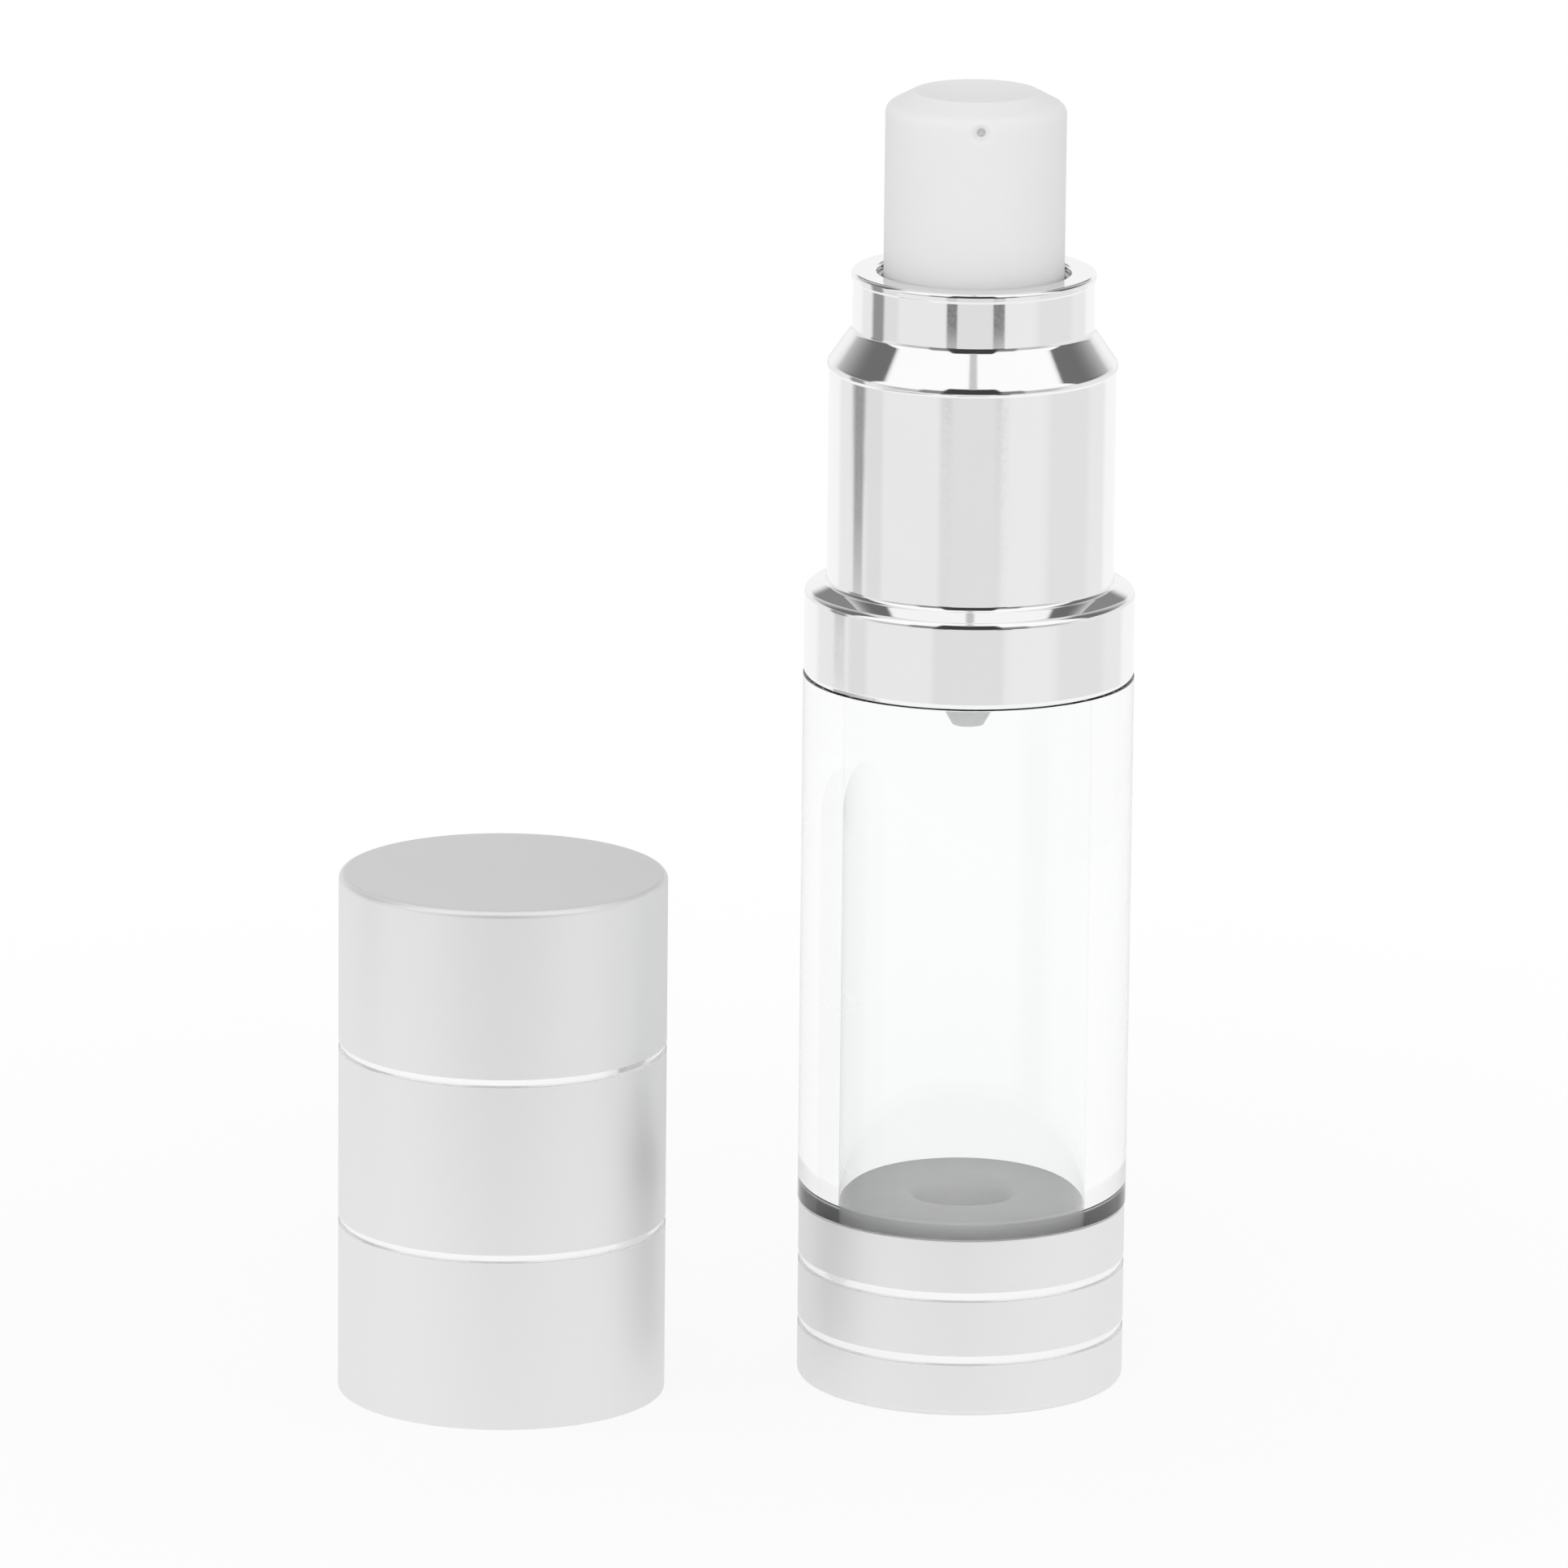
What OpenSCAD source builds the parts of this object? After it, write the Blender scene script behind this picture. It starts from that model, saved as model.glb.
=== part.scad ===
// Airless pump bottle with its cap off and standing beside it.
// Millimetres, +Z up. The origin is the centre of the bottle's foot, on the surface it stands on.
// A follower rises in the clear tube as the pump draws product from above it.

/* [Bottle] */
// Outer diameter of the clear tube
tube_d = 28; // [28:0.5:32]
// Diameter of the tube's bore, in which the follower slides
bore_d = 21; // [20:0.1:21]
// Height of clear tube that shows between the base sleeve and the collar
window_h = 46; // [30:1:100]
// Height of the threaded neck above the tube's shoulder
neck_h = 5; // [5:0.1:5.4]

/* [Base] */
// Height of the base sleeve
base_h = 15.4; // [15:0.1:20]
// Heights of the two bright grooves of the base sleeve
base_grooves = [4.87, 10.43]; // [2:0.01:13]
// Width of a base groove
base_groove_w = 0.85; // [0.5:0.05:1.2]
// Height of the parked follower
follower_h = 11.95; // [11:0.05:12]

/* [Collar] */
// Outer diameter of the collar's sleeve, over which the cap slides
sleeve_d = 24.2; // [24.2:0.1:24.6]
// Diameter of the hole that the actuator passes
throat_d = 16.3; // [16.1:0.1:16.6]
// Wall of the collar's metal shell
shell_wall = 0.5; // [0.4:0.05:0.5]
// Rise of the closure's thread in one turn
thread_pitch = 2.4; // [2.2:0.1:2.4]

/* [Pump] */
// Bore of the pump chamber
chamber_d = 8; // [7.9:0.05:8]
// Travel of the actuator from rest to its stop
stroke = 5; // [4:0.1:5]
// Play of the pump piston on its stem, which opens the outlet
slip = 0.6; // [0.4:0.1:0.6]
// Diameter of the inlet ball
ball_d = 3; // [2.9:0.05:3]
// Wire diameter of the return spring
wire_d = 0.6; // [0.4:0.05:0.6]
// Turns of the return spring
spring_turns = 5; // [4:0.5:5]

/* [Actuator] */
// Outer diameter of the actuator
head_d = 15.2; // [15:0.1:15.4]
// Diameter of the nozzle's outlet
nozzle_d = 0.7; // [0.5:0.1:1]
// Turn of the nozzle from the front of the bottle
nozzle_turn = 2.7; // [-30:0.1:30]

/* [Cap] */
// Height of the cap
cap_h = 45; // [44.5:0.5:60]
// Heights of the cap's two bright grooves above its rim
cap_grooves = [14.92, 30.18]; // [8:0.01:36]
// Width of a cap groove
cap_groove_w = 0.7; // [0.5:0.05:1]
// Place of the cap beside the bottle, across the view
cap_x = -39.1; // [-60:0.1:-30]
// Place of the cap beside the bottle, along the view
cap_y = -5.4; // [-10:0.1:10]

/* [Hidden] */
$fn = 96;

// Radii that the pieces share
tube_r = tube_d / 2;
bore_r = bore_d / 2;
base_r = tube_r - 0.1;
skin = 0.6;                       // wall of the base sleeve and of the cap's shell
core_r = base_r - skin - 0.1;     // what fits inside such a skin
neck_r = bore_r + 1.3;            // root of the neck's thread
neck_crest_r = neck_r + 0.65;
band_r = tube_r - 0.05;           // outside of the collar's lower band
sleeve_r = sleeve_d / 2;
throat_r = throat_d / 2;
chamber_r = chamber_d / 2;
chamber_wall = 1;
stem_r = 2.6;
rod_r = 1.5;
head_r = head_d / 2;
seal_play = 0.05;                 // radial play of every sliding seal and running fit

// Heights of the bottle
groove_depth = 0.2;
groove_ledge = 0.14;
plug_floor = 2;                   // upper face of the plug's disc
tube_foot = 2.65;                 // lower end of the tube, on the plug's flange
parking = 4.4;                    // top of the plug's ring, on which the follower rests
follower_top = parking + 0.05 + follower_h;
shoulder = base_h + window_h;     // where the tube steps in to its neck
neck_top = shoulder + neck_h;

// Heights of the pump, most of them above the shoulder
gasket_h = 0.6;
flange_z = neck_top + gasket_h;   // underside of the housing's flange
flange_top = flange_z + 1;
housing_floor = shoulder - 0.6;   // underside of the housing, where the follower stops
nub_z = housing_floor - 3.5;      // lower end of the inlet nub
chamber_floor = housing_floor + 1.2;
chamber_top = shoulder + 18.6;
turret_top = chamber_top + 1.2;
stem_top = shoulder + 32.6;
stem_foot = shoulder + 12.6;
stop_z = chamber_top - 1.95;      // underside of the turret's tube, which stops the plunger
piston_foot = shoulder + 10.45;
piston_top = shoulder + 15.1;
rod_head_z = shoulder + 9;        // underside of the valve rod's head, on the spring

// Ball valve
ball_r = ball_d / 2;
inlet_r = 0.9;
seat_z = housing_floor + 0.2;
seat_h = 1.2;
seat_r = 2;
seat_len = norm([seat_r - inlet_r, seat_h]);
ball_z = seat_z + (seat_len * (ball_r + 0.02) - inlet_r * seat_h) / (seat_r - inlet_r);
ball_lift = 0.9;
cage_hole_r = 1.3;
cage_z = ball_z + ball_lift + sqrt(ball_r * ball_r - cage_hole_r * cage_hole_r) + 0.04;
cage_top = cage_z + 0.65;
cage_r = 2.8;

// Collar: heights, and how far the flange and the shoulder tilt away from upright
collar_foot = shoulder + 0.08;
flange_edge = shoulder + 6.92;    // where the band turns in to the flange
flange_tilt = 68;
bead_r = sleeve_r + 0.16;
bead_z = shoulder + 26.58;        // where the bead turns in to the shoulder
shoulder_tilt = 34.7;
throat_foot = shoulder + 30.08;
collar_top = shoulder + 34.7;

// Actuator
head_foot = shoulder + 26.1;
head_edge = shoulder + 48.12;     // where the side turns in to the top
head_top = shoulder + 50;
rim_r = 5.2;
ceiling = shoulder + 46.4;        // inside of the roof
nozzle_z = shoulder + 47.8;
head_wall = 1;
post_r = 3.6;

// Points of an arc round (x, z), from angle a to angle b
function arc(x, z, r, a, b, n = 4) =
    [for (i = [0:n]) [x + r * cos(a + (b - a) * i / n), z + r * sin(a + (b - a) * i / n)]];

// Outline of one turned groove in a wall of radius r, upwards: a short ledge and a long bright slope
function groove(r, z, w) =
    [[r, z - w / 2], [r - groove_depth, z - w / 2 + groove_ledge], [r, z + w / 2]];

// Outline, upwards, of a slope from a wall of radius r0 in to a wall of radius r1. It is rounded by
// edge_r from height z on, tilts by the angle tilt, and runs out in a fillet of foot_r.
function step_in(r0, z, edge_r, r1, foot_r, tilt) =
    let (rise = (edge_r + foot_r + (r0 - edge_r - r1 - foot_r) * cos(tilt)) / sin(tilt))
    concat(arc(r0 - edge_r, z, edge_r, 0, tilt, 6),
           arc(r1 + foot_r, z + rise, foot_r, 180 + tilt, 180, 6));

// A turned piece, from its outline in radius and height
module lathe(outline) {
    rotate_extrude() polygon(outline);
}

// A ring between two radii and two heights
module ring(r_out, r_in, z0, z1) {
    lathe([[r_in, z0], [r_out, z0], [r_out, z1], [r_in, z1]]);
}

// A closed tube of triangles through sections of equal point count
module sweep(sections) {
    n = len(sections[0]);
    last = len(sections) - 1;
    sides = [for (i = [0:last - 1], j = [0:n - 1])
        let (k = (j + 1) % n, a = i * n, b = a + n)
        each [[a + j, a + k, b + k], [a + j, b + k, b + j]]];
    start = [for (j = [1:n - 2]) [0, j + 1, j]];
    end = [for (j = [1:n - 2]) [last * n, last * n + j, last * n + j + 1]];
    polyhedron([for (s = sections) each s], concat(start, sides, end));
}

// A helical thread ridge from radius r_in to r_out, w_in and w_out wide there,
// whose middle is at height z at angle 0. Its ends fade into the wall of radius r_wall.
module thread(r_in, w_in, r_out, w_out, r_wall, z, from, to) {
    step = 10;
    fade = 30;
    n = ceil((to - from) / step);
    sweep([for (i = [0:n])
        let (
            a = from + (to - from) * i / n,
            h = z + thread_pitch * a / 360,
            full = min(1, 0.15 + min(a - from, to - a) / fade),
            ri = r_in < r_wall - 0.5 ? r_wall + (r_in - r_wall) * full : r_in,
            ro = r_out > r_wall + 0.5 ? r_wall + (r_out - r_wall) * full : r_out
        )
        [for (p = [[ri, -w_in / 2], [ro, -w_out / 2], [ro, w_out / 2], [ri, w_in / 2]])
            [p[0] * cos(a), p[0] * sin(a), h + p[1]]]]);
}

// Clear tube: thick wall, a step at each end, and the neck with its thread
module bottle_tube() {
    color([0.93, 0.95, 0.96, 0.4]) union() {
        lathe([
            [bore_r, tube_foot], [core_r, tube_foot],
            [core_r, base_h + 0.05], [tube_r - 0.15, base_h + 0.05], [tube_r, base_h + 0.2],
            [tube_r, shoulder - 0.15], [tube_r - 0.15, shoulder], [neck_r, shoulder],
            [neck_r, neck_top], [bore_r, neck_top]
        ]);
        thread(neck_r - 0.25, 1.2, neck_crest_r, 0.6, neck_r, shoulder + 0.95, 0, 450);
    }
}

// Satin metal sleeve of the base, with two bright grooves and a lip turned in under the plug
module base_sleeve() {
    color("silver") lathe(concat(
        [[base_r - 2.5, 0]],
        arc(base_r - 0.5, 0.5, 0.5, -90, 0),
        groove(base_r, base_grooves[0], base_groove_w),
        groove(base_r, base_grooves[1], base_groove_w),
        [[base_r, base_h - 0.1], [base_r - 0.1, base_h], [base_r - skin, base_h],
         [base_r - skin, skin], [base_r - 2.5, skin]]
    ));
}

// Plug of the base: closes the tube, parks the follower and lets air in under it
module base_plug() {
    boss_r = base_r - 2.6;
    ring_r = bore_r - 0.08;
    vent_r = 0.75;
    color("whitesmoke") difference() {
        lathe([
            [0, 0], [3, 0], [3, 0.5], [boss_r - 2, 0.5], [boss_r - 2, 0], [boss_r, 0],
            [boss_r, 0.65], [core_r, 0.65], [core_r, tube_foot - 0.05],
            [ring_r, tube_foot - 0.05], [ring_r, parking - 0.2], [ring_r - 0.2, parking],
            [ring_r - 1.2, parking], [ring_r - 1.2, plug_floor], [0, plug_floor]
        ]);
        translate([6, 0, -1]) cylinder(r = vent_r, h = plug_floor + 2);
    }
}

// Follower: a tall upper and a low lower sealing lip, and a dimple that takes the pump's nub at the top
module follower_piston() {
    lip_r = bore_r - seal_play;
    foot = follower_top - follower_h;
    waist_r = lip_r - 0.55;
    skirt_r = bore_r - 1.6;
    upper_lip_h = 2.6;
    roof = 1.3;
    dimple_mouth_r = 4.3;
    dimple_floor_r = 2.9;
    dimple_h = 3.7;
    dimple_wall = 1.2;
    color("darkgray") lathe([
        [0, follower_top - dimple_h], [dimple_floor_r, follower_top - dimple_h],
        [dimple_mouth_r, follower_top],
        [lip_r - 0.25, follower_top], [lip_r, follower_top - 0.3],
        [lip_r, follower_top - upper_lip_h], [waist_r, follower_top - upper_lip_h - 0.7],
        [waist_r, foot + 1.55], [lip_r, foot + 0.85], [lip_r, foot + 0.3],
        [lip_r - 0.25, foot], [skirt_r, foot], [skirt_r, follower_top - roof],
        [dimple_mouth_r + dimple_wall, follower_top - roof],
        [dimple_floor_r + dimple_wall, follower_top - dimple_h - dimple_wall],
        [0, follower_top - dimple_h - dimple_wall]
    ]);
}

// Flat ring that seals the housing's flange on the neck
module mouth_gasket() {
    color("lightgray") ring(neck_r - 0.05, bore_r - 0.15, neck_top, flange_z);
}

// Pump housing: flange, plug in the neck, chamber, ball cage and inlet nub
module pump_housing() {
    plug_r = bore_r - 0.2;
    slot_w = 0.8;
    color([0.92, 0.93, 0.93]) difference() {
        lathe([
            [0, nub_z], [inlet_r + 0.45, nub_z], [2.5, nub_z + 2], [2.8, housing_floor],
            [plug_r - 0.3, housing_floor], [plug_r, housing_floor + 0.3], [plug_r, flange_z],
            [neck_r - 0.1, flange_z], [neck_r - 0.1, flange_top], [plug_r - 1, flange_top],
            [plug_r - 1, chamber_floor], [chamber_r + chamber_wall, chamber_floor],
            [chamber_r + chamber_wall, chamber_top], [chamber_r, chamber_top],
            [chamber_r, chamber_floor], [cage_r, chamber_floor],
            [cage_r, cage_top], [0, cage_top]
        ]);
        translate([0, 0, nub_z - 1]) cylinder(r = inlet_r, h = 8);
        translate([0, 0, seat_z]) cylinder(r1 = inlet_r, r2 = seat_r, h = seat_h);
        translate([0, 0, seat_z + seat_h]) cylinder(r = seat_r, h = cage_z - seat_z - seat_h);
        translate([0, 0, cage_z - 0.1]) cylinder(r = cage_hole_r, h = 2);
        for (a = [0, 60, 120]) rotate(a)
            translate([-seat_r, -slot_w / 2, cage_z - 0.1]) cube([2 * seat_r, slot_w, 2]);
    }
}

// Turret: snaps over the chamber, stops the plunger and keeps the collar on the pump
module stem_turret() {
    fit_r = chamber_r + chamber_wall + 0.05;
    color("white") lathe([
        [fit_r, shoulder + 8], [fit_r + 1.15, shoulder + 8],
        [fit_r + 1.15, turret_top - 0.3], [fit_r + 0.85, turret_top], [stem_r + 0.15, turret_top],
        [stem_r + 0.15, stop_z], [chamber_r - 0.1, stop_z], [chamber_r - 0.1, chamber_top + 0.05],
        [fit_r, chamber_top + 0.05]
    ]);
}

// Return spring: one wire wound round the ball cage, closer at its ends
module return_spring() {
    wire_r = wire_d / 2;
    coil_r = chamber_r - 0.6;
    low = chamber_floor + wire_r + 0.05;
    high = rod_head_z - wire_r - 0.05;
    rings = 12 * spring_turns;
    tightening = 0.25;
    function height(t) = low + (high - low) * (t - tightening * sin(360 * t) / (2 * PI));
    function gap(t) = height(t + 1 / spring_turns) - height(t) - wire_d;
    echo(spring_least_gap = min([for (i = [0:rings - 12]) gap(i / rings)]));
    color("gray") sweep([for (i = [0:rings])
        let (a = 360 * spring_turns * i / rings, h = height(i / rings))
        [for (s = [0:60:300])
            let (r = coil_r + wire_r * cos(s))
            [r * cos(a), r * sin(a), h + wire_r * sin(s)]]]);
}

// Inlet ball, which lifts to let product in and drops to shut it off
module inlet_ball() {
    color("lightslategray") translate([0, 0, ball_z]) sphere(r = ball_r);
}

// Valve rod: head on the spring, cone that shuts the piston's mouth, and a ribbed tail in the stem
module valve_rod() {
    head_h = 0.8;
    cone_h = 1.3;
    cone_z = rod_head_z + head_h;
    tail_z = stem_foot + 6;
    tail_h = 4;
    rib = 0.9;
    tail_r = 1.85;
    color("ivory") union() {
        difference() {
            lathe([
                [0, rod_head_z], [chamber_r - 0.4, rod_head_z], [chamber_r - 0.4, cone_z],
                [2.8, cone_z], [rod_r, cone_z + cone_h], [rod_r, tail_z + tail_h - 0.5],
                [rod_r - 0.5, tail_z + tail_h], [0, tail_z + tail_h]
            ]);
            for (a = [45:90:315]) rotate(a)
                translate([chamber_r - 0.4, 0, rod_head_z - 1]) cylinder(r = 0.7, h = head_h + 2);
        }
        intersection() {
            translate([0, 0, tail_z]) cylinder(r = tail_r, h = tail_h - 1);
            union() {
                translate([-3, -rib / 2, tail_z]) cube([6, rib, tail_h]);
                translate([-rib / 2, -3, tail_z]) cube([rib, 6, tail_h]);
            }
        }
    }
}

// Hollow stem with the flange that stops under the turret
module pump_stem() {
    bore = 1.9;
    flange_r = 3.3;
    color("white") lathe([
        [bore, stem_foot], [stem_r, stem_foot], [stem_r, stop_z - 0.85],
        [flange_r, stop_z - 0.85], [flange_r, stop_z - 0.05], [stem_r, stop_z - 0.05],
        [stem_r, stem_top - 0.3], [stem_r - 0.3, stem_top], [bore, stem_top]
    ]);
}

// Pump piston: two lips in the chamber, a mouth on the valve cone and a sleeve on the stem
module pump_piston() {
    lip_r = chamber_r - seal_play;
    bore = 2;
    sleeve = stem_r + seal_play;
    ledge = stem_foot - slip;
    color("seashell") lathe([
        [bore + 0.3, piston_foot], [lip_r, piston_foot], [lip_r, piston_foot + 0.5],
        [lip_r - 0.4, piston_foot + 1], [lip_r - 0.4, piston_top - 1.2],
        [lip_r, piston_top - 0.7], [lip_r, piston_top - 0.2], [lip_r - 0.2, piston_top],
        [sleeve, piston_top], [sleeve, ledge], [bore, ledge], [bore, piston_foot + 0.3]
    ]);
}

// Plastic core of the collar: threaded skirt, web over the flange, and the guide of the actuator
module collar_insert() {
    skirt_bore = neck_r + 1;
    skirt_r = band_r - shell_wall - 0.1;
    core = sleeve_r - shell_wall - 0.1;
    guide_r = head_r + 0.2;
    guide_out = throat_r + 1.45;
    top = collar_top - 0.6;
    color("gainsboro") union() {
        lathe([
            [skirt_bore, shoulder + 0.3], [skirt_r, shoulder + 0.3],
            [skirt_r, flange_edge - 0.3], [skirt_r - 0.4, flange_edge + 0.13],
            [core + 0.3, flange_edge + 0.6], [core, flange_edge + 0.95], [core, bead_z],
            [guide_out, throat_foot - 0.65], [guide_out, top], [guide_r, top],
            [guide_r, throat_foot - 0.85], [core - 1, bead_z - 0.6],
            [core - 1, flange_top + 1.2], [chamber_r + chamber_wall + 0.7, flange_top + 1.2],
            [chamber_r + chamber_wall + 0.7, flange_top + 0.05], [neck_r + 0.2, flange_top + 0.05],
            [neck_r + 0.2, flange_z + 0.3], [skirt_bore, flange_z - 0.5]
        ]);
        thread(neck_r + 0.3, 0.6, skirt_bore + 0.25, 1.2, skirt_bore, shoulder - 0.25, 180, 540);
    }
}

// Mirror-bright metal shell of the collar: band, flange, sleeve, shoulder and throat
module collar_shell() {
    w = shell_wall;
    throat_out = throat_r + 2.05;
    foot_edge = 0.3;
    lip_edge = 0.5;
    throat_edge = 0.3;
    color("gainsboro") lathe(concat(
        [[band_r - w, collar_foot]],
        arc(band_r - foot_edge, collar_foot + foot_edge, foot_edge, -90, 0),
        step_in(band_r, flange_edge, 0.65, sleeve_r, 0.5, flange_tilt),
        [[sleeve_r, bead_z - 0.4]],
        step_in(bead_r, bead_z, 0.9, throat_out, 0.8, shoulder_tilt),
        [[throat_out, collar_top - 0.75]],
        arc(throat_out + 0.1 - lip_edge, collar_top - lip_edge, lip_edge, 0, 90),
        arc(throat_r + throat_edge, collar_top - throat_edge, throat_edge, 90, 180),
        [[throat_r, collar_top - w], [throat_out - w, collar_top - w],
         [throat_out - w, throat_foot - 0.5], [sleeve_r - w, bead_z + 0.2],
         [sleeve_r - w, flange_edge + 1.08], [sleeve_r - 0.2, flange_edge + 0.73],
         [band_r - w - 0.25, flange_edge + 0.2], [band_r - w, flange_edge - 0.12]]
    ));
}

// Actuator: frosted button with a dished top, a skirt, a post on the stem, and a small nozzle in a dimple
module actuator() {
    socket = stem_r + seal_play;
    channel_r = 1.3;
    edge = 1;
    top_tilt = 61.7;
    dish = 0.7;
    dish_rise = 0.9;              // share of the dish's depth that its own curve takes
    dimple_r = 0.85;
    dimple_depth = 0.4;
    color([0.9, 0.91, 0.91]) difference() {
        lathe(concat(
            [[head_r - head_wall, head_foot], [head_r - 0.15, head_foot], [head_r, head_foot + 0.15]],
            arc(head_r - edge, head_edge, edge, 0, top_tilt, 6),
            [[rim_r + 0.15, head_top - 0.08], [rim_r - 0.1, head_top]],
            [for (i = [6:-1:0]) let (t = i / 6)
                [(rim_r - 0.35) * t, head_top - dish * (1 - dish_rise * t * t)]],
            [[0, head_foot], [post_r, head_foot], [post_r, ceiling],
             [head_r - head_wall, ceiling]]
        ));
        translate([0, 0, head_foot - 1]) cylinder(r = socket, h = stem_top + 0.3 - head_foot + 1);
        translate([0, 0, stem_top]) cylinder(r = channel_r, h = nozzle_z - stem_top);
        translate([0, 0, nozzle_z]) rotate([0, 0, nozzle_turn]) rotate([90, 0, 0]) {
            cylinder(d = nozzle_d, h = head_r + 1);
            translate([0, 0, head_r - dimple_depth])
                cylinder(r1 = nozzle_d / 2, r2 = dimple_r + dimple_r - nozzle_d / 2, h = 2 * dimple_depth);
        }
    }
}

// Satin metal shell of the cap, with two bright grooves
module cap_shell() {
    edge = 0.55;
    color("silver") translate([cap_x, cap_y, 0]) lathe(concat(
        [[base_r - skin, 0], [base_r - 0.12, 0], [base_r, 0.12]],
        groove(base_r, cap_grooves[0], cap_groove_w),
        groove(base_r, cap_grooves[1], cap_groove_w),
        arc(base_r - edge, cap_h - edge, edge, 0, 90, 5),
        [[0, cap_h], [0, cap_h - 0.7], [base_r - skin, cap_h - 0.7]]
    ));
}

// Plastic liner of the cap, whose bore slides over the collar's sleeve
module cap_liner() {
    bore = sleeve_r + 0.3;
    top = cap_h - 0.75;
    color("whitesmoke") translate([cap_x, cap_y, 0]) lathe([
        [bore + 0.3, 0.4], [core_r, 0.4], [core_r, top], [0, top],
        [0, top - 0.85], [bore, top - 0.85], [bore, 1]
    ]);
}

bottle_tube();
base_sleeve();
base_plug();
follower_piston();
mouth_gasket();
pump_housing();
stem_turret();
return_spring();
inlet_ball();
valve_rod();
pump_stem();
pump_piston();
collar_insert();
collar_shell();
actuator();
cap_shell();
cap_liner();
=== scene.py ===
# Airless pump bottle with its cap off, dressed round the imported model.
# Lengths in the pieces' dictionaries are millimetres. The floor, the lamp and the camera's place are
# given in metres, and every mesh is made in metres.
import math

import bpy
import numpy as np
from mathutils import Matrix


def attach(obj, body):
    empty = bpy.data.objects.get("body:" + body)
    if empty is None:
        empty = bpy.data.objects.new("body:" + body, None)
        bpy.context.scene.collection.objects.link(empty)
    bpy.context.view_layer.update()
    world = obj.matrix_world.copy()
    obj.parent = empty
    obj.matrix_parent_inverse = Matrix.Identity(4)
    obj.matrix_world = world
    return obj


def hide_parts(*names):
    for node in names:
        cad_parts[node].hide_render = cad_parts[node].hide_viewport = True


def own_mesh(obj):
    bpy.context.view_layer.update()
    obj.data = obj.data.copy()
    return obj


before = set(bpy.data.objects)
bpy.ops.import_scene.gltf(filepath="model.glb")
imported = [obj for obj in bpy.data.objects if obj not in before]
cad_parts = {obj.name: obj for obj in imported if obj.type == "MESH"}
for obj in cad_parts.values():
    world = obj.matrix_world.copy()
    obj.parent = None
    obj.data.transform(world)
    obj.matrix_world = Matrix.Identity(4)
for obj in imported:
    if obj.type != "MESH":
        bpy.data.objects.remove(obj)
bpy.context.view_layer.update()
scene = bpy.context.scene
mm = 0.001
print("frame loaded:", len(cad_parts), "nodes")


# Surfaces

# How far a supporting point stands off its arc, the most of a side that a fillet takes, and the half
# angle from which a corner counts as straight
filletRules = {"support": 0.03, "mostOfSide": 0.49, "straightDegrees": 89}
nearWall = 1e-3  # mm within which a point counts as lying on a threaded wall


# Each corner (radius, height, fillet) of an outline gives way to an arc that touches both of its lines.
# The arc's points are centre + fillet * (cos, sin) of evenly spread angles. A point just off each end
# of an arc keeps the shading of the straight stretch true.
def rounded(corners, isClosed, stepDegrees=9.0):
    support, most = filletRules["support"], filletRules["mostOfSide"]
    corner = np.array([(c + (0.0,))[:3] for c in corners], float)
    count = len(corner)
    pieces = []
    for i in range(count):
        here, fillet = corner[i, :2], corner[i, 2]
        if fillet <= 0 or (not isClosed and i in (0, count - 1)):
            pieces.append(here[None])
            continue
        before = corner[i - 1, :2] - here
        after = corner[(i + 1) % count, :2] - here
        lengthBefore, lengthAfter = np.linalg.norm(before), np.linalg.norm(after)
        before, after = before / lengthBefore, after / lengthAfter
        half = math.acos(float(np.clip(before @ after, -1, 1))) / 2
        if half > math.radians(filletRules["straightDegrees"]):
            pieces.append(here[None])
            continue
        reach = min(fillet / math.tan(half), most * lengthBefore, most * lengthAfter)
        fillet = reach * math.tan(half)
        middle = (before + after) / np.linalg.norm(before + after)
        centre = here + middle * fillet / math.sin(half)
        first = here + before * reach - centre
        start = math.atan2(first[1], first[0])
        side = before[0] * after[1] - before[1] * after[0]
        sweep = -math.copysign(math.pi - 2 * half, side)
        steps = max(2, int(abs(math.degrees(sweep)) / stepDegrees))
        angle = start + sweep * np.linspace(0, 1, steps + 1)
        arc = centre + fillet * np.stack([np.cos(angle), np.sin(angle)], 1)
        parts = [arc]
        if lengthBefore - reach > 4 * support:
            parts.insert(0, (here + before * (reach + support))[None])
        if lengthAfter - reach > 4 * support:
            parts.append((here + after * (reach + support))[None])
        pieces.append(np.concatenate(parts))
    return np.concatenate(pieces)


# Corners of a slope from a wall of radius r0 in to a wall of radius r1, upwards. Its edge is the arc
# (r0 - edge, z) + edge * (cos a, sin a), a = 0 to tilt, and its foot is an arc of the radius foot
# round (r1 + foot, z + rise), a = 180 + tilt back to 180. The slope's line touches both.
def slopeIn(r0, z, edge, r1, foot, tilt, steps=14):
    support = filletRules["support"]
    a = math.radians(tilt)
    rise = (edge + foot + (r0 - edge - r1 - foot) * math.cos(a)) / math.sin(a)
    turn = np.linspace(0, a, steps)[:, None]
    upper = [r0 - edge, z] + edge * np.hstack([np.cos(turn), np.sin(turn)])
    back = turn[::-1]
    lower = [r1 + foot, z + rise] - foot * np.hstack([np.cos(back), np.sin(back)])
    along = np.array([-math.sin(a), math.cos(a)]) * support
    points = np.vstack([[r0, z - support], upper, upper[-1] + along, lower[0] - along, lower,
                        [r1, z + rise + support]])
    return [tuple(p) for p in points.tolist()]


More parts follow.
